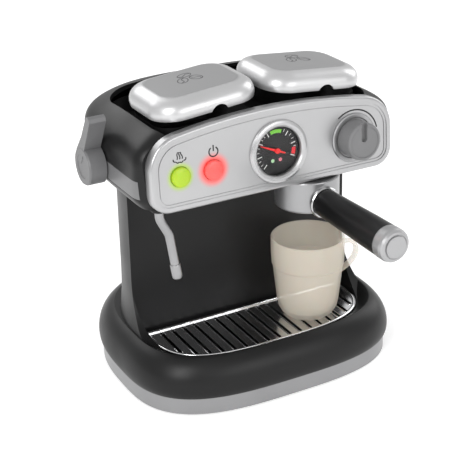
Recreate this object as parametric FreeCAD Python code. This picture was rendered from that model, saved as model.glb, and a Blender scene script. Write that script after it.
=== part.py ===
import FreeCAD, Part
import math
import os
from FreeCAD import Vector, Placement, Rotation

os.makedirs("parts", exist_ok=True)

# Toy coffee maker, millimetres, Z up, front faces -Y, origin under the middle of the foot.

# Plan outline of the foot and the body above it
foot_half_width = 115.5
foot_front = -98.0
foot_back = 98.0
plan_mid_y = -14.5
front_power = 3.06
rear_power = 2.6
foot_gap = 0.8
plinth_top = 15.0
wall = 2.6
fit_gap = 0.3

# Base rim and cup bay
rim_overhang = 2.5
rim_crest_z = 46.2
rim_crest_inset = 13.5
bay_wall_y = -9.0
bay_sweep = 46.0
column_top = 168.0
column_half_width = 99.5
column_back = 85.0
column_power = 2.2

# Drip tray
tray_half_width = 92.5
tray_front = -76.7
tray_back = -12.0
tray_power = 3.2
tray_mid_y = -15.0
tray_top = 40.0
slot_count = 17
slot_pitch = 10.0
slot_width = 2.7
slot_rear_y = -18.0
pan_floor_z = 24.5

# Head
head_half_width = 112.5
head_front = -66.0
head_back = 95.4
head_mid_y = -23.5
head_front_power = 8.0
head_rear_power = 3.6
head_waist_z = 177.0
head_shoulder_z = 204.4
head_top = 231.25
shoulder_inset = 52.6
belt_low = 178.0
belt_high = 192.0
deck_floor = 205.5
well_half_width = 91.0
well_front = -72.0
well_back = 57.0

# Fascia, set leaning back
fascia_y = -69.1
fascia_z = 197.2
fascia_lean = 3.46
fascia_half_width = 105.5
fascia_low = -29.5
fascia_high = 36.5
fascia_arch = 480.0
fascia_top_corner = 27.0
fascia_low_corner = 15.0
fascia_depth = 8.5
gauge_u = 2.0
gauge_v = 0.5
knob_u = 70.0
knob_v = -1.5
button_radius = 7.7
steam_u = -81.0
power_u = -53.8
button_v = -2.8

# Hoppers and lids
lid_x = 46.3
lid_y = -21.75
lid_z = 235.0
lid_tilt = 5.3
lid_half_x = 43.8
lid_half_y = 35.9
lid_corner = 21.4
lid_height = 15.0
hopper_half_x = 40.2
hopper_half_y = 32.5
hopper_wall = 2.0
hinge_y = 39.3
hinge_z = 2.5
pin_radius = 1.3

# Side lever
lever_y = 8.0
lever_z = 186.5
lever_outer_x = -127.5
lever_inner_x = -113.2
lever_radius = 15.3

# Brewing group, cup and wand
group_x = 40.0
group_y = -48.0
group_radius = 26.0
group_low = 140.3
group_high = 166.0
handle_z = 149.4
handle_end = 123.4
handle_root_radius = 11.3
handle_end_radius = 13.2
cup_x = 41.0
cup_y = -48.3
cup_rim_z = 110.9
cup_rim_radius = 30.3
wand_x = -93.0
wand_y = -54.0
wand_radius = 3.5


def save(name, shape):
    if shape.isNull() or not shape.isValid():
        print("CHECK", name, "null or not valid")
    shape.exportStep("parts/" + name + ".step")
    box = shape.BoundBox
    print(name, len(shape.Solids), round(shape.Volume), [round(v, 1) for v in
          (box.XMin, box.XMax, box.YMin, box.YMax, box.ZMin, box.ZMax)])


def group(shapes):
    return Part.makeCompound(shapes)


def block(x0, x1, y0, y1, z0, z1):
    return Part.makeBox(x1 - x0, y1 - y0, z1 - z0, Vector(x0, y0, z0))


def rod(radius, height, base, direction=Vector(0, 0, 1)):
    return Part.makeCylinder(radius, height, base, direction)


def tube(outer, inner, height, base, direction=Vector(0, 0, 1)):
    return rod(outer, height, base, direction).cut(rod(inner, height, base, direction))


def power_curve(t, half, power):
    return math.copysign(abs(t) ** (2.0 / power), t) * half


def outline(half_width, front, back, mid_y, power_front, power_back, z, count=64):
    # rounded plan outline, points spread evenly along its length
    dense = []
    for k in range(1440):
        a = 2 * math.pi * k / 1440
        power = power_front if math.sin(a) < 0 else power_back
        half = mid_y - front if math.sin(a) < 0 else back - mid_y
        dense.append((power_curve(math.cos(a), half_width, power),
                      mid_y + power_curve(math.sin(a), half, power)))
    dense.append(dense[0])
    length = [0.0]
    for p, q in zip(dense, dense[1:]):
        length.append(length[-1] + math.hypot(q[0] - p[0], q[1] - p[1]))
    points = []
    i = 0
    for k in range(count):
        target = length[-1] * k / count
        while length[i + 1] < target:
            i += 1
        f = (target - length[i]) / max(length[i + 1] - length[i], 1e-9)
        points.append(Vector(dense[i][0] + f * (dense[i + 1][0] - dense[i][0]),
                             dense[i][1] + f * (dense[i + 1][1] - dense[i][1]), z))
    curve = Part.BSplineCurve()
    curve.interpolate(points, PeriodicFlag=True)
    return Part.Wire(curve.toShape())


def foot_outline(z, inset):
    return outline(foot_half_width + rim_overhang - inset, foot_front - rim_overhang + inset,
                   foot_back + rim_overhang - inset, plan_mid_y, front_power, rear_power, z)


def stack(wires):
    return Part.makeLoft(wires, True, False)


def rounded_prism(half_x, half_y, radius, z0, z1, cx=0.0, cy=0.0):
    solid = block(cx - half_x, cx + half_x, cy - half_y, cy + half_y, z0, z1)
    upright = [e for e in solid.Edges if abs(e.tangentAt(e.FirstParameter).z) > 0.9]
    return solid.makeFillet(radius, upright)


def spin(profile, base, direction=Vector(0, 0, 1)):
    # profile is a closed list of (radius, height) turned about the axis through base
    points = [Vector(r, 0, h) for r, h in profile]
    points.append(points[0])
    solid = Part.Face(Part.makePolygon(points)).revolve(Vector(0, 0, 0), Vector(0, 0, 1), 360)
    turn = Rotation(Vector(0, 0, 1), direction)
    solid.Placement = Placement(base, turn)
    return solid


def pipe(points, radius, bend):
    # a round tube that runs straight between the points and turns each corner on one bend radius
    corners = [Vector(*point) for point in points]
    edges = []
    start = corners[0]
    for before, corner, after in zip(corners, corners[1:], corners[2:]):
        back = (before - corner).normalize()
        ahead = (after - corner).normalize()
        half = back.getAngle(ahead) / 2
        bend_in = corner + back * (bend / math.tan(half))
        bend_out = corner + ahead * (bend / math.tan(half))
        middle = corner + (back + ahead).normalize() * (bend / math.sin(half) - bend)
        edges.append(Part.makeLine(start, bend_in))
        edges.append(Part.Arc(bend_in, middle, bend_out).toShape())
        start = bend_out
    edges.append(Part.makeLine(start, corners[-1]))
    ring = Part.Wire(Part.makeCircle(radius, corners[0], corners[1] - corners[0]))
    return Part.Wire(edges).makePipeShell([ring], True, False)


def coil(radius, wire, turns, height, base):
    # wire drawn as short straight lengths, which mesh far more lightly than a true helix
    steps = 12 * turns
    turn = 2 * math.pi / 12
    points = [base + Vector(radius * math.cos(i * turn), radius * math.sin(i * turn), height * i / steps)
              for i in range(steps + 1)]
    ring = Part.Wire(Part.makeCircle(wire, points[0], points[1] - points[0]))
    return Part.makePolygon(points).makePipeShell([ring], True, False, 1)


def screw(base, direction, head_radius, shank_radius, length):
    # base is where the head's underside sits, direction points out of the head
    head = spin([(0, 0), (head_radius, 0), (head_radius, 1.2), (head_radius * 0.7, 2.0), (0, 2.0)],
                base, direction)
    shank = rod(shank_radius, length, base, direction * -1)
    slot = Part.makeBox(head_radius * 1.3, 0.9, 1.0, Vector(-head_radius * 0.65, -0.45, 1.2))
    cross = Part.makeBox(0.9, head_radius * 1.3, 1.0, Vector(-0.45, -head_radius * 0.65, 1.2))
    drive = slot.fuse(cross)
    drive.Placement = Placement(base, Rotation(Vector(0, 0, 1), direction))
    return head.fuse(shank).cut(drive)


# Fascia frame: u across, v up the panel, h out of it
fascia_place = Placement(Vector(0, fascia_y, fascia_z), Rotation(Vector(1, 0, 0), 90.0 - fascia_lean))
fascia_out = fascia_place.Rotation.multVec(Vector(0, 0, 1))


def on_fascia(shape):
    moved = shape.copy()
    moved.Placement = fascia_place.multiply(moved.Placement)
    return moved


def fascia_point(u, v, h):
    return fascia_place.multVec(Vector(u, v, h))


def fascia_wire(grow, z):
    half = fascia_half_width + grow
    low = fascia_low - grow
    high = fascia_high + grow
    arch = fascia_arch + grow
    top = fascia_top_corner + grow
    foot = fascia_low_corner + grow
    centre_v = high - arch
    corner_u = half - top
    corner_v = centre_v + math.sqrt((arch - top) ** 2 - corner_u ** 2)
    lean = math.atan2(corner_u, corner_v - centre_v)
    join = Vector(arch * math.sin(lean), centre_v + arch * math.cos(lean), z)
    mid = Vector(corner_u + top * math.cos((math.pi / 2 - lean) / 2),
                 corner_v + top * math.sin((math.pi / 2 - lean) / 2), z)
    side = Vector(half, corner_v, z)
    foot_side = Vector(half, low + foot, z)
    foot_mid = Vector(half - foot + foot * math.cos(math.pi / 4), low + foot - foot * math.sin(math.pi / 4), z)
    foot_end = Vector(half - foot, low, z)

    def flip(p):
        return Vector(-p.x, p.y, p.z)

    edges = [Part.Arc(flip(join), Vector(0, high, z), join).toShape(),
             Part.Arc(join, mid, side).toShape(),
             Part.makeLine(side, foot_side),
             Part.Arc(foot_side, foot_mid, foot_end).toShape(),
             Part.makeLine(foot_end, flip(foot_end)),
             Part.Arc(flip(foot_end), flip(foot_mid), flip(foot_side)).toShape(),
             Part.makeLine(flip(foot_side), flip(side)),
             Part.Arc(flip(side), flip(mid), flip(join)).toShape()]
    return Part.Wire(edges)


def fascia_slab(grow, z0, z1):
    return Part.Face(fascia_wire(grow, z0)).extrude(Vector(0, 0, z1 - z0))


# Foot: plinth band, base plate, feet and screws
band_outer = Part.Face(foot_outline(foot_gap, rim_overhang)).extrude(Vector(0, 0, plinth_top - foot_gap))
band_inner = Part.Face(foot_outline(foot_gap - 1, rim_overhang + wall)).extrude(Vector(0, 0, plinth_top + 1))
save("plinth_band", band_outer.cut(band_inner))

plate = Part.Face(foot_outline(2.4, rim_overhang + wall + fit_gap)).extrude(Vector(0, 0, 2.6))
door_half_x = 34.0
door_half_y = 26.0
door_y = 45.0
screw_places = [(-78, -62), (78, -62), (-78, 58), (78, 58)]
plate = plate.cut(rounded_prism(door_half_x + fit_gap, door_half_y + fit_gap, 4, 0, 8, 0, door_y))
posts = []
for x, y in screw_places:
    plate = plate.cut(rod(2.0, 8, Vector(x, y, 0)))
    posts.append((x, y))
ribs = [block(-92, 92, -30.0, -28.4, 5.0, 10.0), block(-92, 92, 4.0, 5.6, 5.0, 10.0)]
for rib in ribs:
    plate = plate.fuse(rib)
save("base_plate", plate.removeSplitter())

feet = []
for x, y in [(0, 0), (-86, -46), (86, -46), (-68, 66), (68, 66)]:
    feet.append(spin([(0, 0), (8.0, 0), (9.0, 1.0), (9.0, 2.4), (0, 2.4)], Vector(x, y, 0)))
save("rubber_feet", group(feet))
save("base_screws", group([screw(Vector(x, y, 2.4), Vector(0, 0, -1), 3.4, 1.5, 11) for x, y in screw_places]))

# Battery compartment under the column
box_floor = 5.0
battery_box = block(-36, 36, door_y - 28, door_y + 28, box_floor, 25.0)
battery_box = battery_box.cut(block(-34, 34, door_y - 26, door_y + 26, box_floor - 1, 23.0))
door_boss = block(-5, 5, door_y - 26, door_y - 16, 5.4, 23.0).cut(rod(1.55, 9, Vector(0, door_y - 21, 5)))
save("battery_box", battery_box.fuse(door_boss))
cells = []
for k in range(2):
    y = door_y - 4.0 + 18.0 * k
    cells.append(rod(7.2, 48.0, Vector(-25.0, y, 14.2), Vector(1, 0, 0)).fuse(
        rod(2.6, 1.6, Vector(23.0, y, 14.2), Vector(1, 0, 0))))
save("battery_cells", group(cells))
contacts = []
for k in range(2):
    y = door_y - 4.0 + 18.0 * k
    contacts.append(block(24.9, 25.5, y - 5, y + 5, 8.0, 21.0).fuse(block(25.5, 34.0, y - 2, y + 2, 13.0, 13.6)))
    contacts.append(block(-25.9, -25.3, y - 5, y + 5, 8.0, 21.0).fuse(block(-34.0, -25.9, y - 2, y + 2, 13.0, 13.6)))
save("battery_contacts", group(contacts))
door = rounded_prism(door_half_x, door_half_y, 4, 2.4, 5.0, 0, door_y)
for k in range(5):
    door = door.cut(block(-12 + 5 * k, -10 + 5 * k, door_y + 12, door_y + 20, 2.0, 3.2))
door = door.cut(rod(1.9, 6, Vector(0, door_y - 21, 0)))
save("battery_door", door)
save("door_screw", screw(Vector(0, door_y - 21, 2.4), Vector(0, 0, -1), 3.0, 1.5, 7))

# Body shell: base rim, swept cup bay and column in one moulding
rim_rows = [(15.0, 1.5), (18.0, 0.4), (24.0, 0.0), (31.0, 1.1), (37.0, 3.6), (41.5, 6.8),
            (44.6, 10.3), (rim_crest_z, rim_crest_inset)]


def rim_solid(inset, drop):
    return stack([foot_outline(z - (drop if k else 0), i + inset) for k, (z, i) in enumerate(rim_rows)])


def column_outline(z, half_width, inset):
    return outline(half_width - inset, -85.0 + inset, column_back - inset, plan_mid_y, front_power,
                   column_power, z)


def column_solid(inset, z0, z1):
    rows = [(z0, 103.6), (38.0, 103.5), (46.0, 103.3), (54.0, 101.9), (62.0, 100.8), (72.0, 100.2), (84.0, 99.9),
            (98.0, 99.8), (112.0, 99.75), (126.0, 99.7), (140.0, 99.6), (154.0, 99.55), (z1, column_half_width)]
    return stack([column_outline(z, w, inset) for z, w in rows])


def tray_outline(z, grow):
    return outline(tray_half_width + grow, tray_front - grow, 40.0 + grow, tray_mid_y, tray_power, 4.0, z)


far = 200.0
in_front = block(-far, far, -far, bay_wall_y, 0, 300)
bevel = stack([tray_outline(39.0, 0.8), outline(103.8, -87.0, 52.0, tray_mid_y, front_power, 4.0, 46.6)])
bevel = bevel.common(in_front)
rim = rim_solid(0, 0).cut(bevel)

arc_mid = bay_sweep * (1 - math.sqrt(0.5))
bay_low = tray_top - 0.5
p0 = Vector(-far, -far, bay_low)
p1 = Vector(-far, bay_wall_y - bay_sweep, bay_low)
p2 = Vector(-far, bay_wall_y - arc_mid, bay_low + arc_mid)
p3 = Vector(-far, bay_wall_y, bay_low + bay_sweep)
p4 = Vector(-far, bay_wall_y, 300)
p5 = Vector(-far, -far, 300)
bay_wire = Part.Wire([Part.makeLine(p0, p1), Part.Arc(p1, p2, p3).toShape(), Part.makeLine(p3, p4),
                      Part.makeLine(p4, p5), Part.makeLine(p5, p0)])
bay = Part.Face(bay_wire).extrude(Vector(2 * far, 0, 0))
bay_sides = stack([tray_outline(39.0, 0.8), outline(96.5, -84.0, 44.0, tray_mid_y, 3.2, 4.0, 50.0),
                   outline(98.3, -86.0, 46.0, tray_mid_y, 3.2, 4.0, 62.0),
                   outline(99.3, -88.0, 48.0, tray_mid_y, 3.2, 4.0, 90.0)]).common(in_front)
column = column_solid(0, 30.0, column_top).cut(bay).cut(bay_sides)
well = Part.Face(tray_outline(pan_floor_z - 0.3, 0.8)).extrude(Vector(0, 0, 30))
well = well.common(block(-far, far, -far, tray_back + 0.8, 0, 60))
outer = rim.fuse(column).cut(well)

well_keep = Part.Face(tray_outline(0.0, 0.8 + wall)).extrude(Vector(0, 0, 42))
well_keep = well_keep.common(block(-far, far, -far, tray_back + 0.8 + wall, pan_floor_z - 0.3 - wall, 60))
bevel_keep = stack([tray_outline(33.0, 0.8 + wall), outline(107.5, -90.5, 56.0, tray_mid_y, front_power, 4.0, 46.6)])
bevel_keep = bevel_keep.common(block(-far, far, -far, bay_wall_y + wall, 0, 60))
rim_hollow = rim_solid(wall, wall).cut(bevel_keep).cut(well_keep)
column_hollow = column_solid(wall, 20.0, column_top + 1.0).common(block(-far, far, bay_wall_y + wall, far, 0, 300))
shell = outer.cut(rim_hollow).cut(column_hollow)

# rear opening and its panel, cut from the same wall
panel_place = Placement(Vector(0, 80, 108), Rotation(Vector(1, 0, 0), 90))
panel_zone = rounded_prism(52.0, 40.0, 8.0, -50, 50)
panel_zone.Placement = panel_place
gap_zone = rounded_prism(52.0 + fit_gap, 40.0 + fit_gap, 8.3, -50, 50)
gap_zone.Placement = panel_place
column_wall = column_solid(0, 30.0, column_top).cut(column_solid(wall, 20.0, column_top + 1.0))
rear_cover = column_wall.common(panel_zone)
shell = shell.cut(gap_zone)
for k in range(6):
    rear_cover = rear_cover.cut(block(-30, 30, 50, 120, 84 + 7 * k, 86.4 + 7 * k))
cover_seat = column_solid(0, 30.0, column_top).cut(column_solid(wall + fit_gap, 20.0, column_top + 1.0)).common(gap_zone)
rear_screws = []
for x, z in [(-44, 76), (44, 76), (-44, 140), (44, 140)]:
    reach = column_back - plan_mid_y
    face_y = plan_mid_y + reach * (1 - (abs(x) / 99.7) ** column_power) ** (1 / column_power)
    rear_cover = rear_cover.cut(rod(1.8, 60, Vector(x, 50, z), Vector(0, 1, 0)))
    rear_cover = rear_cover.cut(rod(4.2, 20, Vector(x, face_y - 1.3, z), Vector(0, 1, 0)))
    rear_screws.append(screw(Vector(x, face_y - 1.3, z), Vector(0, 1, 0), 3.2, 1.5, 9.0))
    side = math.copysign(1, x)
    lug = block(min(side * 38, side * 70), max(side * 38, side * 70), face_y - 13, face_y - 5.6, z - 4.5, z + 4.5)
    lug = lug.common(column_solid(1.1, 30.0, column_top)).cut(cover_seat)
    shell = shell.fuse(lug.cut(rod(1.55, 30, Vector(x, face_y - 20, z), Vector(0, 1, 0))))
post_zone = rim_solid(wall * 0.5, wall * 0.5).cut(well).cut(bevel)
for x, y in posts:
    post = block(x - 4.5, x + 4.5, y - 4.5, y + 4.5, 5.4, 17.0)
    reach = math.copysign(125.0, x)
    arm = block(min(x, reach), max(x, reach), y - 4.5, y + 4.5, 15.5, 22.0)
    post = post.fuse(arm.common(post_zone)).cut(rod(1.55, 12.5, Vector(x, y, 4.0)))
    shell = shell.fuse(post)
save("body_shell", shell)
save("rear_cover", rear_cover)
save("rear_screws", group(rear_screws))

# Drip tray and the pan below it
tray_cut = block(-far, far, -far, tray_back, 0, 60)


def tray_slab(grow, z0, z1):
    slab = Part.Face(tray_outline(z0, grow)).extrude(Vector(0, 0, z1 - z0))
    return slab.common(block(-far, far, -far, tray_back + grow, 0, 60))


tray = tray_slab(0.0, tray_top - 2.6, tray_top)
tray = tray.cut(tray_slab(-2.6, tray_top - 0.9, tray_top + 1))
tray = tray.fuse(tray_slab(-1.2, tray_top - 8.0, tray_top - 2.0).cut(tray_slab(-2.8, tray_top - 9.0, tray_top - 1.5)))
for k in range(slot_count):
    x = (k - slot_count // 2) * slot_pitch
    reach = tray_mid_y - tray_front
    edge = (1 - (abs(x) / tray_half_width) ** tray_power) ** (1 / tray_power)
    front_y = tray_mid_y - reach * edge + (4.8 if abs(x) < 75 else 7.0)
    slot = block(x - slot_width / 2, x + slot_width / 2, front_y, slot_rear_y, 20, 60)
    slot = slot.fuse(rod(slot_width / 2, 40, Vector(x, front_y, 20)))
    slot = slot.fuse(rod(slot_width / 2, 40, Vector(x, slot_rear_y, 20)))
    tray = tray.cut(slot)
save("drip_tray", tray)
pan = tray_slab(-3.2, pan_floor_z, tray_top - 2.6).cut(tray_slab(-5.2, pan_floor_z + 2.0, tray_top))
for x in (-60, -20, 20, 60):
    pan = pan.fuse(block(x - 0.9, x + 0.9, -58, -22, pan_floor_z + 1.5, pan_floor_z + 6))
save("drip_pan", pan)

# Head shell, belt strip and deck
head_rows = [(column_top, 7.0), (171.0, 4.2), (174.0, 1.9), (head_waist_z, 0.5), (182.0, 0.0), (188.0, 0.0),
             (194.0, 0.0), (200.0, 0.0), (head_shoulder_z, 0.0)]
for degrees in (15, 30, 45, 60, 75, 90):
    a = math.radians(degrees)
    head_rows.append((head_shoulder_z + (head_top - head_shoulder_z) * math.sin(a),
                      shoulder_inset * (1 - math.cos(a))))


def head_outline(z, inset, grow=0.0):
    return outline(head_half_width - inset + grow, head_front + 0.35 * inset - grow, head_back - inset + grow,
                   head_mid_y, head_front_power, head_rear_power, z, 72)


def head_solid(grow, floor_up=0.0, top_drop=0.0):
    rows = []
    for k, (z, inset) in enumerate(head_rows):
        rows.append(head_outline(z + (floor_up if k == 0 else 0) - (top_drop if k > 8 else 0), inset, grow))
    return stack(rows)


front_place = fascia_place.multiply(Placement(Vector(0, 0, -fascia_depth), Rotation()))


def ahead_of_head(back):
    slab = Part.makeBox(400, 400, 100, Vector(-200, -200, -back))
    slab.Placement = front_place
    return slab


head = head_solid(0.0).cut(ahead_of_head(0.0))
head_hollow = head_solid(-wall, wall, wall).cut(ahead_of_head(wall))
head = head.cut(head_hollow)
deck_mid = (well_front + well_back) / 2
deck_half = (well_back - well_front) / 2
opening = rounded_prism(well_half_width, deck_half, 30.0, deck_floor - 2.5, 260, 0, deck_mid)
head = head.cut(opening)
floor_hole = stack([column_outline(z, column_half_width, 9.0) for z in (150.0, 175.0)])
head = head.cut(floor_hole.common(block(-60, 60, 0, far, 0, 300)))
window = rounded_prism(97.0, 22.0, 8.0, -20.0, 20.0, 0, -3.0)
window.Placement = front_place
head = head.cut(window)
belt_grow = -1.2
band = Part.Face(head_outline(belt_low, 0.0, -0.35)).extrude(Vector(0, 0, belt_high - belt_low))
band_core = Part.Face(head_outline(belt_low - 1, 0.0, belt_grow)).extrude(Vector(0, 0, 20))
groove = Part.Face(head_outline(belt_low - 0.3, 0.0, 2.0)).extrude(Vector(0, 0, belt_high - belt_low + 0.6))
groove = groove.cut(band_core).cut(ahead_of_head(4.0))
head = head.cut(groove)
belt = band.cut(band_core).cut(ahead_of_head(4.3))
axle_hole = rod(4.3, 30, Vector(-125, lever_y, lever_z), Vector(1, 0, 0))
head = head.cut(axle_hole)
belt = belt.cut(axle_hole)
head = head.cut(rod(24.4, 20, Vector(group_x, group_y, 160)))
head = head.cut(rod(6.65, 20, Vector(wand_x, wand_y, 160)))
for x, y in [(-72, 30), (72, 30), (-72, -26), (72, -26)]:
    head = head.fuse(rod(4.0, deck_floor - 2.4 - 169.0, Vector(x, y, 169.0)))
save("belt_strip", belt)
save("head_shell", head)

deck = rounded_prism(well_half_width - fit_gap, deck_half - fit_gap, 29.7, deck_floor - 2.4, 219.0, 0, deck_mid)
deck = deck.cut(rounded_prism(well_half_width - 2.3, deck_half - 2.3, 27.7, deck_floor, 240, 0, deck_mid))
deck = deck.cut(ahead_of_head(wall + fit_gap))
deck = deck.cut(rod(4.0, 20, Vector(lid_x, lid_y, 195)))
for x in (-70, -20, 20, 70):
    deck = deck.fuse(block(x - 1, x + 1, 16, 52, deck_floor - 1, deck_floor + 3))
save("hopper_deck", deck)

# Fascia panel with raised bead, groove line and openings
board_posts = [(-93, -13), (-93, 1.8), (-37, -13), (-37, 1.8)]
panel = fascia_slab(0.0, -fascia_depth, 0.0)
rim_edges = [e for e in panel.Edges if abs(e.BoundBox.ZMin) < 1e-4]
panel = panel.makeFillet(2.4, rim_edges)
panel = panel.cut(fascia_slab(-3.0, -fascia_depth - 1, -3.2))
panel = panel.cut(fascia_slab(-4.6, -0.7, 1.0))
line = fascia_slab(-6.6, -1.4, 0.0).cut(fascia_slab(-7.5, -2.0, 1.0))
panel = panel.cut(line)
for u in (steam_u, power_u):
    panel = panel.fuse(tube(button_radius + 2.4, button_radius + 0.35, 3.0, Vector(u, button_v, -5.4)))
    panel = panel.cut(rod(button_radius + 0.35, 20, Vector(u, button_v, -10)))
panel = panel.fuse(tube(24.0, 19.0, 4.0, Vector(gauge_u, gauge_v, -7.0)))
panel = panel.cut(rod(21.6, 20, Vector(gauge_u, gauge_v, -5.2)))
for u, v in board_posts:
    panel = panel.fuse(rod(2.3, 15.4, Vector(u, v, -17.4)))
panel = panel.fuse(rod(8.0, 5.6, Vector(knob_u, knob_v, -8.4)))
panel = panel.cut(rod(5.2, 20, Vector(knob_u, knob_v, -10)))
panel = panel.cut(rod(19.9, 2.0, Vector(knob_u, knob_v, -1.7)))
save("fascia_panel", on_fascia(panel))

# Gauge
here = Vector(gauge_u, gauge_v, 0)
bezel = spin([(19.4, -2.4), (21.5, -2.4), (21.5, -0.7), (25.0, -0.7), (25.0, 0.4), (24.2, 1.5), (22.6, 2.1),
              (20.8, 1.9), (19.6, 0.9), (19.2, -0.2)], here)
save("gauge_bezel", on_fascia(bezel))
dial = spin([(1.0, -5.2), (21.3, -5.2), (21.3, -2.7), (19.3, -2.7), (19.3, -3.6), (1.0, -3.6)], here)
save("gauge_dial", on_fascia(dial))
lens = spin([(0, 0.0), (12.0, -0.2), (19.05, -0.9), (19.05, -1.5), (12.0, -0.9), (0, -0.8)], here)
save("gauge_lens", on_fascia(lens))
pin = rod(0.95, 4.6, Vector(gauge_u, gauge_v, -6.6)).fuse(rod(3.0, 1.4, Vector(gauge_u, gauge_v, -6.6)))
save("gauge_pin", on_fascia(pin))
hub = spin([(0, -1.2), (0, -1.95), (1.0, -1.95), (1.0, -2.9), (2.1, -2.9), (2.1, -1.2)], Vector(0, 0, 0))
arm_points = [Vector(1.6, 1.0, -2.7), Vector(1.6, -1.0, -2.7), Vector(15.6, -0.25, -2.7), Vector(15.6, 0.25, -2.7)]
arm = Part.Face(Part.makePolygon(arm_points + [arm_points[0]])).extrude(Vector(0, 0, 0.5))
tail_points = [Vector(-1.6, 0.9, -2.7), Vector(-7.6, 0.5, -2.7), Vector(-7.6, -0.5, -2.7), Vector(-1.6, -0.9, -2.7)]
tail = Part.Face(Part.makePolygon(tail_points + [tail_points[0]])).extrude(Vector(0, 0, 0.5))
needle = hub.fuse(arm).fuse(tail)
needle.Placement = Placement(here, Rotation(Vector(0, 0, 1), 157.0))
save("gauge_needle", on_fascia(needle))

# Selector knob in its dished ring, the valve on its shaft
here = Vector(knob_u, knob_v, 0)
ring = spin([(4.9, -1.7), (19.6, -1.7), (19.6, 0.0), (18.6, 0.7), (16.6, 0.3), (15.6, -0.6), (8.0, -1.0), (4.9, -1.0)],
            here)
save("knob_ring", on_fascia(ring))
knob = spin([(0, 0.2), (15.0, 0.2), (15.0, 13.2), (14.6, 14.6), (13.4, 15.4), (12.6, 15.4), (12.2, 14.7), (0, 14.7)],
            here)
pointer = block(-2.6, 2.6, 2.5, 20.0, 11.6, 20.0).fuse(rod(2.6, 10, Vector(0, 2.5, 11.6)))
pointer.Placement = Placement(here, Rotation())
knob = knob.cut(pointer)
knob = knob.cut(tube(13.0, 5.5, 8.0, Vector(knob_u, knob_v, 0.0)))
knob = knob.fuse(rod(3.0, 27.0, Vector(knob_u, knob_v, -22.0)))
save("selector_knob", on_fascia(knob))
valve = rod(6.5, 14.0, Vector(knob_u, knob_v, -26.0)).cut(rod(3.06, 20.0, Vector(knob_u, knob_v, -23.5)))
valve = valve.fuse(tube(4.9, 3.06, 4.0, Vector(knob_u, knob_v, -12.4)))
valve = valve.fuse(tube(3.4, 2.0, 6.0, Vector(knob_u, knob_v - 5.8, -20.0), Vector(0, -1, 0)))
valve = valve.fuse(tube(3.4, 2.0, 6.0, Vector(knob_u - 5.8, knob_v, -20.0), Vector(-1, 0, 0)))
save("water_valve", on_fascia(valve))

# Push buttons, springs, lamps and board
board_h = -19.0
for name, u in (("steam", steam_u), ("power", power_u)):
    here = Vector(u, button_v, 0)
    button = spin([(0, -4.0), (5.6, -4.0), (5.6, -7.6), (9.2, -7.6), (9.2, -5.8), (button_radius, -5.8),
                   (button_radius, 1.0), (7.0, 2.0), (5.0, 2.7), (2.5, 3.1), (0, 3.2)], here)
    save(name + "_button", on_fascia(button))
    save(name + "_spring", on_fascia(coil(6.9, 0.4, 5, 8.6, Vector(u, button_v, board_h + 2.2))))
    lamp = rod(2.4, 5.0, Vector(u, button_v, board_h + 1.6)).fuse(Part.makeSphere(2.4, Vector(u, button_v, board_h + 6.6)))
    save(name + "_lamp", on_fascia(lamp))
board = block(-96, -34, -16, 4.5, board_h, board_h + 1.6)
save("circuit_board", on_fascia(board))

# Hoppers, lids and their hinge pins, each pair leaning to the middle
def lid_place(side):
    return Placement(Vector(side * lid_x, lid_y, lid_z), Rotation(Vector(0, 1, 0), side * lid_tilt))


def rounded_ring(half_x, half_y, radius, z):
    edges = []
    corners = [(1, 1), (-1, 1), (-1, -1), (1, -1)]
    for k, (sx, sy) in enumerate(corners):
        cx = sx * (half_x - radius)
        cy = sy * (half_y - radius)
        a = math.radians(90 * k)
        p = [Vector(cx + radius * math.cos(a + t), cy + radius * math.sin(a + t), z)
             for t in (0, math.pi / 4, math.pi / 2)]
        edges.append(Part.Arc(p[0], p[1], p[2]).toShape())
    wire = []
    for k, edge in enumerate(edges):
        wire.append(edge)
        after = edges[(k + 1) % 4]
        wire.append(Part.makeLine(edge.Vertexes[-1].Point, after.Vertexes[0].Point))
    return Part.Wire(wire)


def lid_body(drop, height):
    rows = [(0.0, 0.6), (3.0, 0.1), (6.0, 0.3), (9.0, 1.4), (11.6, 3.4), (13.4, 6.2), (14.5, 9.4), (15.0, 13.0)]
    wires = []
    for k, (z, inset) in enumerate(rows):
        wires.append(rounded_ring(lid_half_x - inset - drop, lid_half_y - inset - drop,
                                  lid_corner - inset * 0.75 - drop, z * height / 15.0))
    return stack(wires)


lid_outer = lid_body(0.0, lid_height)
lid_inner = lid_body(1.9, lid_height - 2.0)
lid = lid_outer.cut(lid_inner)
lid = lid.cut(rod(7.3, 10, Vector(5.5, -lid_half_y - 5, -2.8), Vector(0, 1, 0)))
for x in (-12.5, 12.5):
    knuckle = rod(2.9, 5.0, Vector(x - 2.5, hinge_y, hinge_z), Vector(1, 0, 0))
    strap = block(x - 2.5, x + 2.5, lid_half_y - 2.0, hinge_y, hinge_z - 1.2, hinge_z + 2.9)
    lid = lid.fuse(knuckle.fuse(strap).cut(rod(pin_radius + 0.06, 8, Vector(x - 4, hinge_y, hinge_z), Vector(1, 0, 0))))
for x in (-26, 26):
    lid = lid.fuse(block(x - 0.7, x + 0.7, -20, 20, 10.2, 13.6))

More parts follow.
